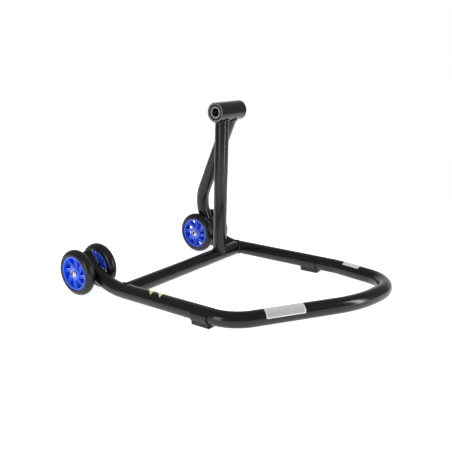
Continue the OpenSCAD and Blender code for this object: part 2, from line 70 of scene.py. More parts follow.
class Wire:
    """One output socket of a shader graph, with arithmetic that adds Math nodes."""

    def __init__(self, graph: Graph, socket: Any) -> None:
        """Keep the graph and the socket."""
        self.graph = graph
        self.socket = socket

    def _math(self, operation: str, *operands: Any) -> Wire:
        """Add a Math node for one operation and return its value."""
        values = dict(enumerate(operands))
        return self.graph.add("ShaderNodeMath", {"operation": operation}, values)

    def __add__(self, other: Wire | float) -> Wire:
        """Sum of two values."""
        return self._math("ADD", self, other)

    __radd__ = __add__

    def __sub__(self, other: Wire | float) -> Wire:
        """This value less the other."""
        return self._math("SUBTRACT", self, other)

    def __rsub__(self, other: float) -> Wire:
        """The other value less this one."""
        return self._math("SUBTRACT", other, self)

    def __mul__(self, other: Wire | float) -> Wire:
        """Product of two values."""
        return self._math("MULTIPLY", self, other)

    __rmul__ = __mul__

    def above(self, edge: float) -> Wire:
        """1 where the value is greater than the edge, else 0."""
        return self._math("GREATER_THAN", self, edge)

    def absolute(self) -> Wire:
        """Size of the value without its sign."""
        return self._math("ABSOLUTE", self)


class Graph:
    """Node tree of one material, built through a single method."""

    def __init__(self, name: str, kind: str = "materials") -> None:
        """Make an empty material or world of that name."""
        self.material = getattr(bpy.data, kind).new(name)
        self.material.use_nodes = True
        self.tree = self.material.node_tree
        self.tree.nodes.clear()

    def add(self, kind: str, settings: dict[str, Any] | None = None,
            values: dict[Any, Any] | None = None, output: int | str = 0) -> Wire:
        """Add a node.

        Args:
            kind: the node's type.
            settings: properties that are set first; "stops" fills a colour ramp.
            values: number, colour or wire of each input, by name or place.
            output: the socket to return.

        Returns:
            The chosen output as a wire.
        """
        node = self.tree.nodes.new(kind)
        for key, value in (settings or {}).items():
            if key == "stops":
                self._fill_ramp(node.color_ramp, value)
            else:
                setattr(node, key, value)
        for key, value in (values or {}).items():
            if isinstance(value, Wire):
                self.tree.links.new(value.socket, node.inputs[key])
            elif node.inputs[key].type == "RGBA":
                node.inputs[key].default_value = (*value, 1.0)
            else:
                node.inputs[key].default_value = value
        return Wire(self, node.outputs[output])

    @staticmethod
    def _fill_ramp(ramp: Any, stops: list[tuple[float, Colour]]) -> None:
        """Give a colour ramp its stops.

        Args:
            ramp: the colour ramp of a node.
            stops: place and colour of each stop, in order.
        """
        while len(ramp.elements) < len(stops):
            ramp.elements.new(1.0)
        for element, (place, colour) in zip(ramp.elements, stops):
            element.position = place
            element.color = (*colour, 1.0)

    def place(self, centre: Point = (0, 0, 0), stretch: Point = (1, 1, 1)) -> Wire:
        """Object coordinates with the given centre at zero, then stretched."""
        raw = self.add("ShaderNodeTexCoord", output="Object")
        moved = self.add("ShaderNodeVectorMath", {"operation": "SUBTRACT"}, {0: raw, 1: centre})
        return self.add("ShaderNodeVectorMath", {"operation": "MULTIPLY"}, {0: moved, 1: stretch})

    def from_axis(self, centre: Point) -> Wire:
        """Distance from the axis along Y through a centre."""
        flat = self.place(centre, (1.0, 0.0, 1.0))
        return self.add("ShaderNodeVectorMath", {"operation": "LENGTH"}, {0: flat}, 1)

    def noise(self, where: Wire, scale: float, detail: float = 3.0) -> Wire:
        """Smooth random value from 0 to 1 with about scale features in a metre."""
        return self.add("ShaderNodeTexNoise", None,
                        {"Vector": where, "Scale": scale, "Detail": detail}, "Fac")

    def blend(self, share: Wire, first: Any, second: Any) -> Wire:
        """Colour that goes from the first to the second as the share goes from 0 to 1."""
        return self.add("ShaderNodeMix", {"data_type": "RGBA"},
                        {"Factor": share, 6: first, 7: second}, 2)

    def ramp(self, value: Wire, *stops: tuple[float, float]) -> Wire:
        """Value read through a ramp of grey stops, given as place and level."""
        grey = [(place, (level, level, level)) for place, level in stops]
        return self.add("ShaderNodeValToRGB", {"stops": grey}, {"Fac": value})

    def bump(self, height: Wire, depth: float, strength: float = 1.0) -> Wire:
        """Surface normal of a relief whose height runs over depth metres."""
        return self.add("ShaderNodeBump", None,
                        {"Height": height, "Distance": depth, "Strength": strength})

    def finish(self, values: dict[str, Any]) -> bpy.types.Material:
        """Close the graph with a Principled shader that has these values."""
        shader = self.add("ShaderNodeBsdfPrincipled", None, values)
        self.add_output(shader)
        return self.material

    def add_output(self, shader: Wire, kind: str = "ShaderNodeOutputMaterial") -> None:
        """Join a shader to the surface of the material or world."""
        end = self.tree.nodes.new(kind)
        self.tree.links.new(shader.socket, end.inputs["Surface"])


# ---------------------------------------------------------------- finishes


@dataclass(frozen=True)
class PowderCoat:
    """Baked powder coat: fine orange peel, soft gloss, a little dust in patches."""

    name: str
    colour: Colour = (0.0052, 0.0052, 0.0056)
    dust_colour: Colour = (0.011, 0.011, 0.0115)
    gloss_roughness: float = 0.15
    patch_roughness: float = 0.07
    peel_per_metre: float = 620.0
    peel_depth: float = 0.03 * MM
    grain_depth: float = 0.01 * MM

    def make(self) -> bpy.types.Material:
        """Build the material."""
        g = Graph(self.name)
        where = g.place()
        peel = g.noise(where, self.peel_per_metre, 2.0)
        grain = g.noise(where, self.peel_per_metre * 4, 2.0)
        patch = g.noise(where, 14.0, 4.0)
        dust = g.ramp(g.noise(where, 45.0, 6.0), (0.52, 0.0), (0.78, 0.4))
        relief = peel + grain * (self.grain_depth / self.peel_depth)
        return g.finish({
            "Base Color": g.blend(dust, self.colour, self.dust_colour),
            "Roughness": patch * self.patch_roughness + dust * 0.08 + self.gloss_roughness,
            "Normal": g.bump(relief, self.peel_depth, 0.35),
            "IOR": 1.45,
            "Specular IOR Level": 0.36,
            "Coat Weight": 0.12,
            "Coat Roughness": 0.1,
        })


@dataclass(frozen=True)
class MouldedPlastic:
    """Injection-moulded plastic with faint flow marks and a fine skin."""

    name: str
    colour: Colour
    pale_colour: Colour
    roughness: float = 0.22
    skin_per_metre: float = 1500.0
    skin_depth: float = 0.02 * MM
    coat: float = 0.3

    def make(self) -> bpy.types.Material:
        """Build the material."""
        g = Graph(self.name)
        where = g.place()
        flow = g.noise(g.place(stretch=(1.0, 0.35, 1.0)), 55.0, 4.0)
        skin = g.noise(where, self.skin_per_metre, 3.0)
        scuff = g.ramp(g.noise(where, 210.0, 5.0), (0.62, 0.0), (0.8, 0.5))
        return g.finish({
            "Base Color": g.blend(flow * 0.55 + scuff * 0.2, self.colour, self.pale_colour),
            "Roughness": flow * 0.08 + scuff * 0.15 + self.roughness,
            "Normal": g.bump(skin, self.skin_depth, 0.5),
            "IOR": 1.53,
            "Coat Weight": self.coat,
            "Coat Roughness": 0.1,
        })


@dataclass(frozen=True)
class Rubber:
    """Moulded rubber or soft polyurethane: satin, finely grained, dusty where it is touched."""

    name: str
    colour: Colour = (0.0068, 0.0068, 0.0072)
    dust_colour: Colour = (0.02, 0.0195, 0.0185)
    roughness: float = 0.4
    grain_per_metre: float = 1900.0
    grain_depth: float = 0.04 * MM

    def make(self) -> bpy.types.Material:
        """Build the material."""
        g = Graph(self.name)
        where = g.place()
        grain = g.noise(where, self.grain_per_metre, 2.0)
        dust = g.ramp(g.noise(where, 85.0, 6.0), (0.5, 0.0), (0.82, 0.5))
        shade = g.noise(where, 20.0, 2.0)
        return g.finish({
            "Base Color": g.blend(dust * 0.6 + shade * 0.15, self.colour, self.dust_colour),
            "Roughness": dust * 0.14 + grain * 0.06 + self.roughness,
            "Normal": g.bump(grain, self.grain_depth, 0.45),
            "IOR": 1.45,
            "Specular IOR Level": 0.4,
        })


@dataclass(frozen=True)
class PlatedSteel:
    """Zinc-plated steel with a fine tooled grain and slightly cloudy plating."""

    name: str
    colour: Colour = (0.66, 0.67, 0.69)
    cloudy_colour: Colour = (0.48, 0.49, 0.52)
    roughness: float = 0.24
    grain_stretch: Point = (1.0, 0.12, 1.0)
    grain_per_metre: float = 3200.0
    grain_depth: float = 0.01 * MM
    cloud_per_metre: float = 240.0

    def plating(self, g: Graph) -> dict[str, Any]:
        """Shader values of the bare plating.

        Args:
            g: the graph that gets the nodes.

        Returns:
            Values and wires by the name of their input.
        """
        grain = g.noise(g.place(stretch=self.grain_stretch), self.grain_per_metre, 2.0)
        cloud = g.noise(g.place(), self.cloud_per_metre, 4.0)
        return {
            "Base Color": g.blend(cloud, self.colour, self.cloudy_colour),
            "Metallic": 1.0,
            "Roughness": cloud * 0.12 + grain * 0.08 + self.roughness,
            "Normal": g.bump(grain, self.grain_depth, 0.6),
        }

    def make(self) -> bpy.types.Material:
        """Build the material."""
        g = Graph(self.name)
        return g.finish(self.plating(g))


@dataclass(frozen=True)
class SocketSteel(PlatedSteel):
    """Plated bolt whose hexagon socket, on an axis along Y, is painted dark for the shade inside
    the recess.
    """

    head_at: Point = (0.0, 0.0, 0.0)
    socket_r: float = 3.05 * MM
    socket_depth: float = 5 * MM
    # Painted shade colour of the socket's recess.
    painted_recess_shade_colour: Colour = (0.035, 0.034, 0.033)

    def make(self) -> bpy.types.Material:
        """Build the material: painted shade fills the socket's radius and depth."""
        g = Graph(self.name)
        reach = g.from_axis(self.head_at)
        deep = g.add("ShaderNodeSeparateXYZ", None, {0: g.place(self.head_at)}, "Y")
        # Painted shade: inside the socket the colour goes dark and less metallic, standing for the
        # shade in the recess.
        painted_recess_shade = (1 - reach.above(self.socket_r)) * (1 - deep.above(self.socket_depth))
        values = self.plating(g)
        values["Base Color"] = g.blend(painted_recess_shade, values["Base Color"], self.painted_recess_shade_colour)
        values["Metallic"] = 1 - painted_recess_shade
        values["Roughness"] = values["Roughness"] + painted_recess_shade * 0.3
        return g.finish(values)


@dataclass(frozen=True)
class GroundSteel:
    """Bearing steel ground in fine rings about one axis along Y."""

    name: str
    centre: Point
    colour: Colour = (0.78, 0.78, 0.79)
    line_colour: Colour = (0.5, 0.5, 0.515)
    roughness: float = 0.2
    line_turn_per_metre: float = 21000.0
    line_depth: float = 0.008 * MM

    def make(self) -> bpy.types.Material:
        """Build the material: the ring pattern is a wave of the distance from the axis."""
        g = Graph(self.name)
        phase = g.from_axis(self.centre) * self.line_turn_per_metre
        line = g.add("ShaderNodeMath", {"operation": "SINE"}, {0: phase}) * 0.5 + 0.5
        stain = g.noise(g.place(), 300.0, 3.0)
        return g.finish({
            "Base Color": g.blend(line * 0.4 + stain * 0.4, self.colour, self.line_colour),
            "Metallic": 1.0,
            "Roughness": stain * 0.1 + self.roughness,
            "Normal": g.bump(line, self.line_depth, 0.5),
        })


@dataclass(frozen=True)
class SilverFoil:
    """Silver foil label with painted shade: lit at its upper edge, greyer down the tube's side,
    with a pale printed border.
    """

    name: str
    # Lit and shaded colours of the same foil, painted in for light from above.
    light: Colour = (0.72, 0.725, 0.73)
    shade: Colour = (0.42, 0.425, 0.435)
    border: Colour = (0.76, 0.765, 0.77)
    border_share: float = 0.0765
    aspect: float = 3.1
    brush_depth: float = 0.01 * MM

    def make(self) -> bpy.types.Material:
        """Build the material from the label's own UV map: U runs along the tube, V round it."""
        g = Graph(self.name)
        uv = g.add("ShaderNodeUVMap", {"uv_map": "label"})
        parts = {name: g.add("ShaderNodeSeparateXYZ", None, {0: uv}, name) for name in "XY"}
        from_mid_v = (parts["Y"] - 0.5).absolute()
        from_mid_u = (parts["X"] - 0.5).absolute()
        long_edge = from_mid_v.above(0.5 - self.border_share)
        short_edge = from_mid_u.above(0.5 - self.border_share / self.aspect)
        frame_mask = g.add("ShaderNodeMath", {"operation": "MAXIMUM"},
                           {0: long_edge, 1: short_edge})
        brushed = g.noise(g.add("ShaderNodeVectorMath", {"operation": "MULTIPLY"},
                                {0: uv, 1: (4.0, 170.0, 1.0)}), 1.6, 3.0)
        # Painted shade: the foil is lightest at its upper edge (V = 1) and greyer towards the side
        # (V = 0).
        painted_light_falloff = g.ramp(parts["Y"], (0.0, 0.0), (0.35, 0.2), (0.75, 0.75), (1.0, 1.0))
        body = g.blend(1 - painted_light_falloff + (brushed - 0.5) * 0.35, self.light, self.shade)
        return g.finish({
            "Base Color": g.blend(frame_mask, body, self.border),
            "Metallic": 0.3 - frame_mask * 0.15,
            "Roughness": brushed * 0.14 + 0.26,
            "Normal": g.bump(brushed, self.brush_depth, 0.4),
            "Coat Weight": 0.35,
            "Coat Roughness": 0.12,
        })


@dataclass(frozen=True)
class PrintedVinyl:
    """Thin printed vinyl with a slightly uneven ink and a soft film gloss."""

    name: str
    colour: Colour
    thin_colour: Colour
    roughness: float = 0.34
    metallic: float = 0.0
    ink_depth: float = 0.01 * MM

    def make(self) -> bpy.types.Material:
        """Build the material."""
        g = Graph(self.name)
        where = g.place()
        ink = g.noise(where, 420.0, 5.0)
        film = g.noise(where, 160.0, 2.0)
        return g.finish({
            "Base Color": g.blend(ink * 0.7, self.colour, self.thin_colour),
            "Metallic": self.metallic,
            "Roughness": film * 0.12 + self.roughness,
            "Normal": g.bump(ink, self.ink_depth, 0.4),
            "Coat Weight": 0.2,
            "Coat Roughness": 0.15,
        })


@dataclass(frozen=True)
class StudioFloor:
    """Plain pale paper floor."""

    name: str = "studio_paper"
    colour: Colour = (0.93, 0.93, 0.93)
    fibre_colour: Colour = (0.9, 0.9, 0.905)
    glow: float = 0.85

    def make(self) -> bpy.types.Material:
        """Build the material."""
        g = Graph(self.name)
        fibre = g.noise(g.place(), 60.0, 3.0)
        return g.finish({
            "Base Color": g.blend(fibre * 0.2, self.colour, self.fibre_colour),
            "Roughness": 0.85,
            "Specular IOR Level": 0.1,
            "Emission Color": WHITE,
            "Emission Strength": self.glow,
        })


# ---------------------------------------------------------------- surfaces


def unit(vector: np.ndarray) -> np.ndarray:
    """Vector of length 1 along the given one, or rows of them."""
    return vector / np.linalg.norm(vector, axis=-1, keepdims=True)


def rounded_profile(corners: list[tuple[float, float, float]], steps: int = 6) -> np.ndarray:
    """Closed outline with rounded corners.

    Each corner is replaced by the quadratic curve that leaves its two sides at the given
    distance from it and has the corner as its middle control point.

    Args:
        corners: x, y and rounding distance of each corner, in order.
        steps: points on each rounded corner.

    Returns:
        The outline's points, one row each.
    """
    points = np.array([corner[:2] for corner in corners], float)
    reach = np.array([corner[2] for corner in corners], float)[:, None]
    before = points + unit(np.roll(points, 1, 0) - points) * reach
    after = points + unit(np.roll(points, -1, 0) - points) * reach
    t = np.linspace(0.0, 1.0, steps)[None, :, None]
    curve = ((1 - t) ** 2 * before[:, None] + 2 * t * (1 - t) * points[:, None]
             + t ** 2 * after[:, None])
    return curve.reshape(-1, 2)


class Shell:
    """Grids of points that become one closed piece."""

    def __init__(self) -> None:
        """Start with no grids."""
        self.points: list[np.ndarray] = []
        self.quads: list[np.ndarray] = []
        self.uv: list[np.ndarray] = []
        self.count = 0

    def grid(self, points: np.ndarray, wrap_u: bool = False, wrap_v: bool = False) -> Shell:
        """Add a grid of points as quads.

        Args:
            points: array of rows, columns and three coordinates.
            wrap_u: whether the last row joins the first.
            wrap_v: whether the last column joins the first.

        Returns:
            The shell itself.
        """
        rows, columns = points.shape[:2]
        index = np.arange(rows * columns).reshape(rows, columns) + self.count
        if wrap_u:
            index = np.concatenate([index, index[:1]], 0)
        if wrap_v:
            index = np.concatenate([index, index[:, :1]], 1)
        quads = np.stack([index[:-1, :-1], index[1:, :-1], index[1:, 1:], index[:-1, 1:]], -1)
        u, v = np.meshgrid(np.linspace(0, 1, rows), np.linspace(0, 1, columns), indexing="ij")
        self.points.append(points.reshape(-1, 3))
        self.quads.append(quads.reshape(-1, 4))
        self.uv.append(np.stack([u, v], -1).reshape(-1, 2))
        self.count += rows * columns
        return self

    def revolve(self, profile: np.ndarray, centre: np.ndarray, axis: np.ndarray,
                steps: int = 160, closed: bool = True) -> Shell:
        """Add a surface of revolution.

        A profile point at radius r and height h goes to the centre plus h along the axis plus
        r along a direction that turns once about the axis.

        Args:
            profile: radius and height of each point.
            centre: point on the axis at height 0.
            axis: direction of the axis.
            steps: points round the axis.
            closed: whether the profile's last point joins its first.

        Returns:
            The shell itself.
        """
        axis = unit(np.asarray(axis, float))
        side = unit(np.cross(axis, [0.31, 0.17, 0.94]))
        other = np.cross(axis, side)
        angle = np.linspace(0, TURN, steps, endpoint=False)
        spin = np.cos(angle)[:, None] * side + np.sin(angle)[:, None] * other
        points = (np.asarray(centre)[None, None] + profile[None, :, 1, None] * axis
                  + profile[None, :, 0, None] * spin[:, None])
        return self.grid(points, wrap_u=True, wrap_v=closed)

    def piece(self, name: str, material: bpy.types.Material, hard_angle: float = 40.0,
              uv_name: str | None = None) -> bpy.types.Object:
        """Make the Blender object.

        Args:
            name: the piece's name.
            material: its finish.
            hard_angle: edges sharper than this many degrees stay hard.
            uv_name: name of a UV map to write from the grids' own parameters.

        Returns:
            The new object, at the origin.
        """
        mesh = bpy.data.meshes.new(name)
        mesh.from_pydata(np.concatenate(self.points), [], np.concatenate(self.quads).tolist())
        if uv_name:
            loops = np.zeros(len(mesh.loops), np.int32)
            mesh.loops.foreach_get("vertex_index", loops)
            layer = mesh.uv_layers.new(name=uv_name)
            layer.data.foreach_set("uv", np.concatenate(self.uv)[loops].astype(np.float32).ravel())
        work = bmesh.new()
        work.from_mesh(mesh)
        bmesh.ops.remove_doubles(work, verts=work.verts, dist=1e-6)
        bmesh.ops.recalc_face_normals(work, faces=work.faces)
        work.to_mesh(mesh)
        work.free()
        mesh.polygons.foreach_set("use_smooth", np.ones(len(mesh.polygons), bool))
        mesh.set_sharp_from_angle(angle=math.radians(hard_angle))
        mesh.materials.append(material)
        piece = bpy.data.objects.new(name, mesh)
        bpy.context.scene.collection.objects.link(piece)
        return piece


def settle(piece: bpy.types.Object, body: str, slot: str, *nodes: str) -> bpy.types.Object:
    """Ride a new piece on its body and hide the CAD nodes that it stands for.

    Args:
        piece: the new piece.
        body: the CAD body that carries it.
        slot: the material slot that it would take its finish from; not used.
        nodes: the CAD nodes that it replaces.

    Returns:
        The piece.
    """
    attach(piece, body)
    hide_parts(*nodes)
    log.info("%s: %d faces, rides on %s", piece.name, len(piece.data.polygons), body)
    return piece


def middle(node: str) -> np.ndarray:
    """Middle of a CAD node's box."""
    low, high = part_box(node)
    return (np.array(low) + np.array(high)) / 2


# ---------------------------------------------------------------- the stand's layout


@dataclass
class Layout:
    """Lines of the welded frame in the row frame, in metres."""

    tube_r: float = 16 * MM
    corner_run: float = 278 * MM
    corner_turn: float = 57.3
    tail_turn: float = 50.0
    brace_lead: float = 6 * MM
    brace_from_end: float = 32.5 * MM
    brace_corner_x: float = -135.11 * MM
    brace_corner_z: float = 99.5 * MM
    sleeve_lift: float = 1.1 * MM
    cross: np.ndarray = field(init=False)
    pin: np.ndarray = field(init=False)
    sleeve_r: float = field(init=False)
    sleeve_end_y: float = field(init=False)
    column_y: float = field(init=False)
    near_y: float = field(init=False)
    far_y: float = field(init=False)
    height: float = field(init=False)

    def __post_init__(self) -> None:
        """Read the cross tube, the column and the sleeve from the CAD nodes."""
        self.cross = middle("cross_tube")
        self.pin = middle("pin_sleeve")
        low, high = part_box("pin_sleeve")
        self.sleeve_r = (high.z - low.z) / 2
        self.sleeve_end_y = high.y
        self.column_y = middle("column_tube")[1]
        self.near_y, self.far_y = middle("near_foot")[1], middle("far_foot")[1]
        self.height = float(self.cross[2])


# ---------------------------------------------------------------- weld beads


@dataclass
class WeldSeam:
    """Bead where a branch tube meets a main tube, in overlapping scales like stacked coins."""

    base: np.ndarray
    direction: np.ndarray
    branch_r: float
    main_point: np.ndarray
    main_r: float
    main_direction: np.ndarray
    scales: int = 40
    bead_r: float = 2.35 * MM
    around: int = 14
    per_scale: int = 7
    scale_dip: float = 0.16
    scale_round: float = 0.9
    wander: float = 0.05

    def line(self, angle: np.ndarray) -> tuple[np.ndarray, np.ndarray]:
        """Points where lines along the branch's wall meet the main tube.

        A wall line starts at the base plus the branch's radius at its angle. The distance along
        it is the larger root of the quadratic that puts it on the main tube's surface.

        Args:
            angle: place of each wall line round the branch, in radians.

        Returns:
            The points and the two directions across the branch.
        """
        b = unit(self.direction)
        first = unit(np.cross(b, self.main_direction))
        second = np.cross(b, first)
        wall = self.base + self.branch_r * (np.cos(angle)[:, None] * first
                                            + np.sin(angle)[:, None] * second)
        axis = unit(self.main_direction)
        offset = wall - self.main_point
        flat = offset - (offset @ axis)[:, None] * axis
        lean = b - (b @ axis) * axis
        a, half_b = lean @ lean, flat @ lean
        c = (flat * flat).sum(1) - self.main_r ** 2
        reach = (-half_b + np.sqrt(np.maximum(0.0, half_b ** 2 - a * c))) / a
        return wall + reach[:, None] * b, b

    def add_to(self, shell: Shell) -> None:
        """Add the bead to a shell.

        It is a circle carried along the seam. Its radius rises through each scale as a quarter
        of a circle does and falls at the next, and wanders a little on the way round.

        Args:
            shell: receives the bead.
        """
        count = self.scales * self.per_scale
        angle = np.linspace(0, TURN, count, endpoint=False)
        line, b = self.line(angle)
        tangent = unit(np.roll(line, -2, 0) - np.roll(line, 2, 0))
        out = unit(np.cross(tangent, b))
        up = np.cross(out, tangent)
        phase = (np.arange(count) % self.per_scale) / self.per_scale
        rise = np.sqrt(1 - (1 - phase) ** 2 * self.scale_round)
        fullness = 1 - self.scale_dip + self.scale_dip * rise
        drift = 1 + self.wander * np.sin(angle * 3.0 + 1.1) * np.sin(angle * 7.0)
        radius = self.bead_r * fullness * drift
        turn = np.linspace(0, TURN, self.around, endpoint=False)
        ring = (np.cos(turn)[None, :, None] * out[:, None]
                + np.sin(turn)[None, :, None] * up[:, None])
        shell.grid(line[:, None] + radius[:, None, None] * ring, wrap_u=True, wrap_v=True)


@dataclass
class WeldedFrame:
    """The tubes' weld beads and the finishes of the welded frame."""

    layout: Layout

    def seams(self) -> list[WeldSeam]:
        """The five seams that show on the frame."""
        at = self.layout
        along_x, along_y = np.array([1.0, 0, 0]), np.array([0, 1.0, 0])
        near = np.array([at.cross[0], at.near_y, at.height])
        far = np.array([at.cross[0], at.far_y, at.height])
        foot = np.array([at.cross[0], at.column_y, at.height])
        top = np.array([at.pin[0], at.column_y, at.pin[2]])
        end = np.array([at.pin[0] + at.brace_lead, at.sleeve_end_y - at.brace_from_end, at.pin[2]])
        corner = np.array([at.cross[0] + at.brace_corner_x, at.far_y, at.brace_corner_z])
        return [
            WeldSeam(near, along_y, at.tube_r, near, at.tube_r, along_x),
            WeldSeam(far, -along_y, at.tube_r, far, at.tube_r, along_x),
            WeldSeam(foot, top - foot, at.tube_r, foot, at.tube_r, along_y),
            WeldSeam(top, foot - top, at.tube_r, top, at.sleeve_r + at.sleeve_lift, along_y),
            WeldSeam(end, corner - end, at.tube_r, top, at.sleeve_r + at.sleeve_lift, along_y),
        ]

    def build(self, finish: bpy.types.Material) -> None:
        """Make the beads as one piece on the frame.

        Args:
            finish: the beads' material.
        """
        shell = Shell()
        for seam in self.seams():
            seam.add_to(shell)
        settle(shell.piece("weld_scales", finish, 60.0), "frame", "frame_black", "weld_beads")


# ---------------------------------------------------------------- wheels


class Place(Enum):
    """The four wheels, by the side of the stand and the side of the tube."""

    NEAR_OUTER = "near_outer"
    NEAR_INNER = "near_inner"
    FAR_INNER = "far_inner"
    FAR_OUTER = "far_outer"


@dataclass
class Wheel:
    """Moulded wheel: a rim and a hub joined by double spokes that run off-centre, and a tyre."""

    place: Place
    wheel_r: float = 50 * MM
    core_r: float = 36.8 * MM
    core_half: float = 10 * MM
    hub_r: float = 14.5 * MM
    hub_half: float = 9 * MM
    bore_r: float = 6.08 * MM
    rim_h: float = 4 * MM
    spokes: int = 8
    rib_t: float = 2.4 * MM
    rib_gap: float = 2.6 * MM
    spoke_offset: float = 8.6 * MM
    spoke_half: float = 6.5 * MM
    panel_half: float = 4.5 * MM
    first_angle: float = 14.0
    tyre_half: float = 11.5 * MM
    crown_r: float = 12 * MM
    crown_slack: float = 0.01 * MM
    mould_line: float = 0.1 * MM
    beam_steps: int = 26
    beam_sides: int = 28
    squareness: float = 0.38

    def __post_init__(self) -> None:
        """Find the wheel's middle from its CAD core."""
        self.centre = middle(self.place.value + "_core")

    def rim_profile(self) -> np.ndarray:
        """Radius and height round the rim band: two lips and a shallow well on each face."""
        inner, outer, half = self.core_r - self.rim_h, self.core_r, self.core_half
        lip, well = 1.1 * MM, 0.7 * MM
        half_profile = [
            (outer, half, 0.5 * MM), (outer - lip, half, 0.4 * MM),
            (outer - lip - 0.4 * MM, half - well, 0.25 * MM),
            (inner + lip + 0.3 * MM, half - well, 0.25 * MM), (inner + lip, half, 0.3 * MM),
            (inner, half - 0.3 * MM, 0.4 * MM)]
        mirrored = [(r, -h, soft) for r, h, soft in reversed(half_profile)]
        return rounded_profile(half_profile + mirrored, 5)

    def hub_profile(self) -> np.ndarray:
        """Radius and height round the hub: rounded outer edge, a ring groove and a bore lip."""
        half = self.hub_half
        half_profile = [
            (self.hub_r - 0.4 * MM, 0.0, 0.1 * MM),
            (self.hub_r, half - 0.5 * MM, 0.4 * MM), (self.hub_r - 1.2 * MM, half, 0.6 * MM),
            (self.hub_r - 3.6 * MM, half, 0.3 * MM),
            (self.hub_r - 4.0 * MM, half - 0.8 * MM, 0.3 * MM),
            (self.bore_r + 1.6 * MM, half - 0.8 * MM, 0.3 * MM),
            (self.bore_r + 1.3 * MM, half, 0.3 * MM), (self.bore_r, half - 0.2 * MM, 0.15 * MM)]
        mirrored = [(r, -h, soft) for r, h, soft in reversed(half_profile[1:])]
        return rounded_profile(half_profile + mirrored, 5)

    def add_beam(self, shell: Shell, angle: float, offset: float, thick_half: float,
                 wide_half: float, fillet: float) -> None:
        """Add a rib or a panel of a spoke to a shell.

        Its section is a rounded rectangle. It runs at a set offset from the axle, out of the hub
        and into the rim, and swells near both ends like a moulded fillet.

        Args:
            shell: receives the beam.
            angle: turn of the beam about the axle, in degrees.
            offset: distance of its middle line from the axle.
            thick_half: half of its thickness in the wheel's plane.
            wide_half: half of its width along the axle.
            fillet: share by which its thickness swells at the ends.
        """
        hub_bite, rim_bite, hub_fade, rim_fade = 0.8 * MM, 1.5 * MM, 1.5 * MM, 1.7 * MM
        hub_x = math.sqrt((self.hub_r - hub_bite) ** 2 - offset ** 2)
        rim_x = math.sqrt((self.core_r - self.rim_h + rim_bite) ** 2 - offset ** 2)
        along = np.linspace(hub_x, rim_x, self.beam_steps)
        swell = np.exp(-(along - hub_x) / hub_fade) + np.exp(-(rim_x - along) / rim_fade)
        half_t = thick_half * (1 + fillet * swell)
        half_w = wide_half * (1 + 0.07 * fillet * swell)
        turn = np.linspace(0, TURN, self.beam_sides, endpoint=False)
        c, s = np.cos(turn), np.sin(turn)
        across = np.sign(c) * np.abs(c) ** self.squareness
        deep = np.sign(s) * np.abs(s) ** self.squareness
        x = -along[:, None] * np.ones_like(turn)
        y = offset + half_t[:, None] * across
        z = half_w[:, None] * deep
        a = math.radians(angle)
        px = x * math.cos(a) - y * math.sin(a)
        py = x * math.sin(a) + y * math.cos(a)
        points = np.stack([px, -z, py], -1) + self.centre
        ends = [np.repeat(points[i].mean(0)[None], len(turn), 0)[None] for i in (0, -1)]
        shell.grid(np.concatenate([ends[0], points, ends[1]]), wrap_v=True)

    def tyre_profile(self) -> np.ndarray:
        """Radius and height round the tyre.

        The crown is a circle about a point inside the tyre, cut flat at the flanks, with a
        shallow step beside the rim and a fine mould line round the middle.

        Returns:
            The closed outline.
        """
        crown_x = self.wheel_r - self.crown_r - self.crown_slack
        limit = math.asin(self.tyre_half / self.crown_r)
        angle = np.linspace(-limit, limit, 61)
        dip = self.mould_line * (1 - np.exp(-(angle / 0.035) ** 2))
        radius = crown_x + (self.crown_r - dip) * np.cos(angle)
        height = (self.crown_r - dip) * np.sin(angle)
        seat = self.core_r + TOUCH_GAP
        flank = np.array([
            (crown_x - 0.4 * MM, self.tyre_half - 0.02 * MM),
            (seat + 0.9 * MM, self.tyre_half - 0.3 * MM),
            (seat + 0.35 * MM, self.tyre_half - 0.75 * MM), (seat, self.tyre_half - 1.3 * MM)])
        top = np.stack([radius, height], -1)
        low = flank[::-1] * [1, -1]
        return np.concatenate([top, flank, low])

    def build(self, core_finish: bpy.types.Material, tyre_finish: bpy.types.Material) -> None:
        """Make the core and the tyre and ride them on the wheel's body.

        Args:
            core_finish: the core's material.
            tyre_finish: the tyre's material.
        """
        axis = np.array([0.0, 1.0, 0.0])
        name, body = self.place.value, self.place.value + "_wheel"
        core = Shell()
        core.revolve(self.rim_profile(), self.centre, axis, 144)
        core.revolve(self.hub_profile(), self.centre, axis, 96)
        for k in range(self.spokes):
            angle, apart = self.first_angle + k * 360 / self.spokes, self.rib_gap + self.rib_t
            for side in (-1, 1):
                self.add_beam(core, angle, self.spoke_offset + side * apart / 2,
                              self.rib_t / 2, self.spoke_half, 0.8)
            self.add_beam(core, angle, self.spoke_offset, apart / 2, self.panel_half, 0.0)
        settle(core.piece(name + "_spoked_core", core_finish, 50.0), body, "core_blue",
               name + "_core")
        tyre = Shell().revolve(self.tyre_profile(), self.centre, axis, 192)
        settle(tyre.piece(name + "_cast_tyre", tyre_finish, 50.0), body, "tyre_black",
               name + "_tyre")


# ---------------------------------------------------------------- trim


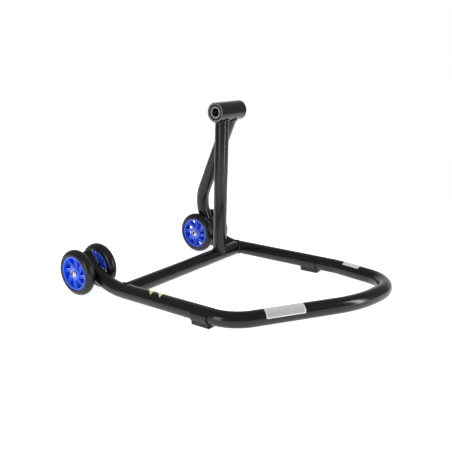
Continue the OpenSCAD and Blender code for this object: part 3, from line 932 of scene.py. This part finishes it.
@dataclass
class TubePlug:
    """Domed plastic plug in the near tube's rear end."""

    layout: Layout
    bend_start: float = 5 * MM
    bend_r: float = 140 * MM
    tail: float = 10 * MM

    def build(self, finish: bpy.types.Material) -> None:
        """Make the plug: a domed flange with a rolled edge and a spigot.

        Args:
            finish: the plug's material.
        """
        at = self.layout
        turn = math.radians(at.tail_turn)
        axis = np.array([-math.cos(turn), 0.0, math.sin(turn)])
        arc_end = np.array([-self.bend_start - self.bend_r * math.sin(turn), 0.0,
                            self.bend_r * (1 - math.cos(turn))])
        start = np.array([at.cross[0], at.near_y, at.height]) + arc_end + self.tail * axis
        r, spigot = at.tube_r, 13.9 * MM
        dome = [(r * math.cos(a), 2.4 * MM + 1.5 * MM * math.sin(a))
                for a in np.linspace(0.25, math.pi / 2, 22)]
        outline = np.array([
            (0.0, -0.2 * MM), (spigot - 2 * MM, -0.2 * MM), (spigot - 2 * MM, -12 * MM),
            (spigot - 0.3 * MM, -12 * MM), (spigot, -11.6 * MM), (spigot, 0.02 * MM),
            (r - 0.5 * MM, 0.02 * MM), (r - 0.05 * MM, 0.4 * MM), (r, 1.2 * MM),
            (r - 0.02 * MM, 2.2 * MM), *dome])
        shell = Shell().revolve(outline, start, axis, 120, closed=False)
        settle(shell.piece("tube_plug", finish, 45.0), "frame", "black_plastic", "tail_cap")


@dataclass
class HandleLabel:
    """Blank silver label wrapped round the handle, with rounded corners."""

    layout: Layout
    from_corner: float = 63.5 * MM
    length: float = 80 * MM
    low_angle: float = 87.0
    high_angle: float = 172.0
    corner_r: float = 2.2 * MM
    skin: float = 0.27 * MM

    def sheet(self, radius: float) -> np.ndarray:
        """Grid of points on a tube-shaped sheet.

        Columns run round the tube. Rows run along it, and each column's run is shortened near
        the long edges by the height of a circle of the corner's radius.

        Args:
            radius: distance from the tube's axis.

        Returns:
            The grid of points.
        """
        at = self.layout
        turn = math.radians(at.corner_turn)
        run = np.array([math.cos(turn), math.sin(turn), 0.0])
        left = np.array([-run[1], run[0], 0.0])
        start = np.array([at.cross[0] + at.corner_run, at.near_y, at.height])
        angle = np.radians(np.linspace(self.high_angle, self.low_angle, 49))
        from_edge = np.minimum(angle[0] - angle, angle - angle[-1]) * radius
        short = np.clip(self.corner_r - from_edge, 0.0, self.corner_r)
        inset = self.corner_r - np.sqrt(np.maximum(self.corner_r ** 2 - short ** 2, 0.0))
        share = np.linspace(0.0, 1.0, 97)[:, None]
        s = self.from_corner + inset + share * (self.length - 2 * inset)
        out = np.cos(angle)[:, None] * left + np.sin(angle)[:, None] * np.array([0.0, 0.0, 1.0])
        return start + s[..., None] * run + radius * out[None]

    def build(self, finish: bpy.types.Material) -> None:
        """Make the label as an outer and an inner sheet with a closed edge.

        Args:
            finish: the label's material.
        """
        outer = self.sheet(self.layout.tube_r + self.skin)
        inner = self.sheet(self.layout.tube_r + TOUCH_GAP)
        shell = Shell().grid(outer)
        shell.grid(inner[::-1])
        for edge in ((outer[0], inner[0]), (inner[-1], outer[-1]),
                     (inner[:, 0], outer[:, 0]), (outer[:, -1], inner[:, -1])):
            shell.grid(np.stack(edge))
        piece = shell.piece("handle_label", finish, 50.0, "label")
        settle(piece, "frame", "silver_label", "grip_label")


# ---------------------------------------------------------------- CAD nodes' finishes


@dataclass
class FinishBook:
    """All finishes of the stand, and which CAD node wears which."""

    layout: Layout

    def __post_init__(self) -> None:
        """Make every material once."""
        self.coat = PowderCoat("frame_powder_coat").make()
        self.weld = PowderCoat("weld_powder_coat", gloss_roughness=0.26,
                               peel_per_metre=900.0, peel_depth=0.00012).make()
        self.core = MouldedPlastic("wheel_core_blue", (0.008, 0.085, 0.8),
                                   (0.03, 0.17, 0.95)).make()
        self.plug = MouldedPlastic("plug_black", (0.006, 0.006, 0.0065), (0.012, 0.012, 0.0125),
                                   0.34, coat=0.0).make()
        self.tyre = Rubber("tyre_polyurethane", roughness=0.2).make()
        self.foot = Rubber("foot_rubber", (0.0085, 0.0085, 0.009), roughness=0.42).make()
        self.seal = Rubber("seal_rubber", (0.01, 0.01, 0.01), (0.03, 0.03, 0.03), 0.45,
                           2600.0).make()
        self.steel = PlatedSteel("plated_steel").make()
        self.nut = PlatedSteel("plated_nut", roughness=0.3,
                               grain_stretch=(0.2, 1.0, 1.0)).make()
        self.ring = GroundSteel("ground_bearing_steel", tuple(self.layout.pin.tolist())).make()
        self.bore = PlatedSteel("oiled_steel", (0.16, 0.13, 0.11), (0.1, 0.085, 0.075),
                                0.35).make()
        self.ball = PlatedSteel("polished_balls", (0.74, 0.74, 0.75), (0.66, 0.66, 0.68),
                                0.08, (1.0, 1.0, 1.0)).make()
        self.label = SilverFoil("handle_label_foil").make()
        self.side = PrintedVinyl("side_label_foil", (0.72, 0.73, 0.74), (0.6, 0.61, 0.62),
                                 0.3, 0.2).make()
        self.mark = PrintedVinyl("mark_vinyl", (0.6, 0.66, 0.26), (0.68, 0.73, 0.36)).make()

    def by_node(self) -> dict[str, bpy.types.Material]:
        """Finish of each CAD node that keeps its own shape."""
        book = {node: self.coat for node in
                ("main_tube", "cross_tube", "column_tube", "pin_sleeve", "axle_bushes")}
        book |= {"near_foot": self.foot, "far_foot": self.foot, "foot_screws": self.steel,
                 "side_label": self.side, "triangle_marks": self.mark,
                 "pin_outer_rings": self.ring, "pin_inner_rings": self.ring,
                 "pin_balls": self.ball, "pin_seals": self.seal, "pin_spacer": self.bore}
        for side in ("near", "far"):
            bolt = side + "_axle_bolt"
            centre = middle(bolt)
            head_at = (float(centre[0]), float(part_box(bolt)[0][1]), float(centre[2]))
            socket = SocketSteel(side + "_bolt_steel", head_at=head_at).make()
            book |= {bolt: socket, side + "_lock_nut": self.nut,
                     side + "_washers": self.steel, side + "_hub_sleeves": self.steel}
        return book

    def dress(self) -> None:
        """Give each kept CAD node its finish."""
        for node, finish in self.by_node().items():
            mesh_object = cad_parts[node]
            for slot in mesh_object.material_slots:
                slot.material = finish
            log.info("%s wears %s", node, finish.name)


# ---------------------------------------------------------------- studio


@dataclass(frozen=True)
class SoftLight:
    """Soft rectangular light at a place, turned to a point and not seen itself."""

    name: str
    at: Point
    aim: Point
    width: float
    depth: float
    power: float
    mirrored: bool = True

    def hang(self) -> None:
        """Add the light to the scene."""
        data = bpy.data.lights.new(self.name, "AREA")
        data.shape, data.size, data.size_y = "RECTANGLE", self.width, self.depth
        data.energy = self.power
        lamp = bpy.data.objects.new(self.name, data)
        lamp.location = self.at
        lamp.rotation_mode = "QUATERNION"
        towards = Vector(self.aim) - Vector(self.at)
        lamp.rotation_quaternion = towards.to_track_quat("-Z", "Y")
        lamp.visible_camera = False
        lamp.visible_glossy = self.mirrored
        bpy.context.scene.collection.objects.link(lamp)


@dataclass
class Studio:
    """Pale floor, soft lights and the camera."""

    camera_at: Point = (0.80445, -1.0738, 0.4943)
    azimuth: float = 37.889
    pitch: float = 14.765
    roll: float = 0.796
    lens: float = 51.82
    paper_half: float = 1.1
    paper_z: float = -0.2 * MM
    seen_level: float = 1.0
    unlit_level: float = 0.32
    lights: tuple[SoftLight, ...] = (
        SoftLight("overhead_softbox", (0.0, 0.1, 1.9), (0, 0, 0.1), 1.4, 1.0, 19.0, False),
        SoftLight("right_strip", (0.85, 0.2, 0.3), (-0.1, 0.1, 0.2), 0.12, 0.6, 3.0),
        SoftLight("left_softbox", (-0.1, -1.15, 0.3), (0.0, 0.1, 0.2), 0.35, 0.6, 3.0))

    def camera(self) -> None:
        """Set the camera: forward from azimuth and pitch, then a small roll about it."""
        az, pitch, roll = (math.radians(v) for v in (self.azimuth, self.pitch, self.roll))
        forward = np.array([-math.sin(az) * math.cos(pitch), math.cos(az) * math.cos(pitch),
                            -math.sin(pitch)])
        level = np.array([math.cos(az), math.sin(az), 0.0])
        down = np.cross(forward, level)
        right = math.cos(roll) * level + math.sin(roll) * down
        below = -math.sin(roll) * level + math.cos(roll) * down
        turn = Matrix(np.column_stack([right, -below, -forward]).tolist()).to_4x4()
        data = bpy.data.cameras.new("studio_camera")
        data.lens, data.sensor_width = self.lens, 36.0
        data.clip_start, data.clip_end = 0.05, 50.0
        camera = bpy.data.objects.new("studio_camera", data)
        camera.matrix_world = Matrix.Translation(self.camera_at) @ turn
        bpy.context.scene.collection.objects.link(camera)
        bpy.context.scene.camera = camera

    def floor(self) -> None:
        """Lay a wide paper floor just under the stand."""
        side = np.linspace(-self.paper_half, self.paper_half, 3)
        u, v = np.meshgrid(side, side, indexing="ij")
        points = np.stack([u, v, np.full_like(u, self.paper_z)], -1)
        paper = Shell().grid(points).piece("studio_floor", StudioFloor().make())

    def world(self) -> None:
        """Dark room with a lit strip low on its back wall.

        The strip gives thin highlights on the tubes' edges. Seen directly, the room is white.
        """
        g = Graph("studio_room", "worlds")
        way = g.add("ShaderNodeTexCoord", output="Generated")
        az = math.radians(self.azimuth)
        front = g.add("ShaderNodeVectorMath", {"operation": "DOT_PRODUCT"},
                      {0: way, 1: (math.sin(az), -math.cos(az), 0.0)}, 1)
        high = g.add("ShaderNodeSeparateXYZ", None, {0: way}, "Z")
        back_wall = 1 - g.ramp(front * 0.5 + 0.5, (0.12, 0.0), (0.36, 1.0))
        low = 1 - g.ramp(high, (0.25, 0.0), (0.6, 1.0))
        lit = back_wall * low * (1 - self.unlit_level) + self.unlit_level
        seen = g.add("ShaderNodeLightPath", output="Is Camera Ray")
        level = g.add("ShaderNodeMath", {"operation": "MAXIMUM"},
                      {0: seen * self.seen_level, 1: lit})
        paint = g.add("ShaderNodeBackground", None,
                      {"Color": WHITE, "Strength": level})
        g.add_output(paint, "ShaderNodeOutputWorld")
        bpy.context.scene.world = g.material

    def build(self) -> None:
        """Set up the whole studio."""
        self.camera()
        self.floor()
        self.world()
        for light in self.lights:
            light.hang()
        bpy.context.scene.view_settings.view_transform = "Standard"


def main() -> None:
    """Build the studio, dress the CAD nodes and add the new pieces."""
    logging.basicConfig(level=logging.INFO, format="%(name)s %(message)s")
    Studio().build()
    layout = Layout()
    book = FinishBook(layout)
    book.dress()
    WeldedFrame(layout).build(book.weld)
    for place in Place:
        Wheel(place).build(book.core, book.tyre)
    TubePlug(layout).build(book.plug)
    HandleLabel(layout).build(book.label)


if __name__ == "__main__":
    main()
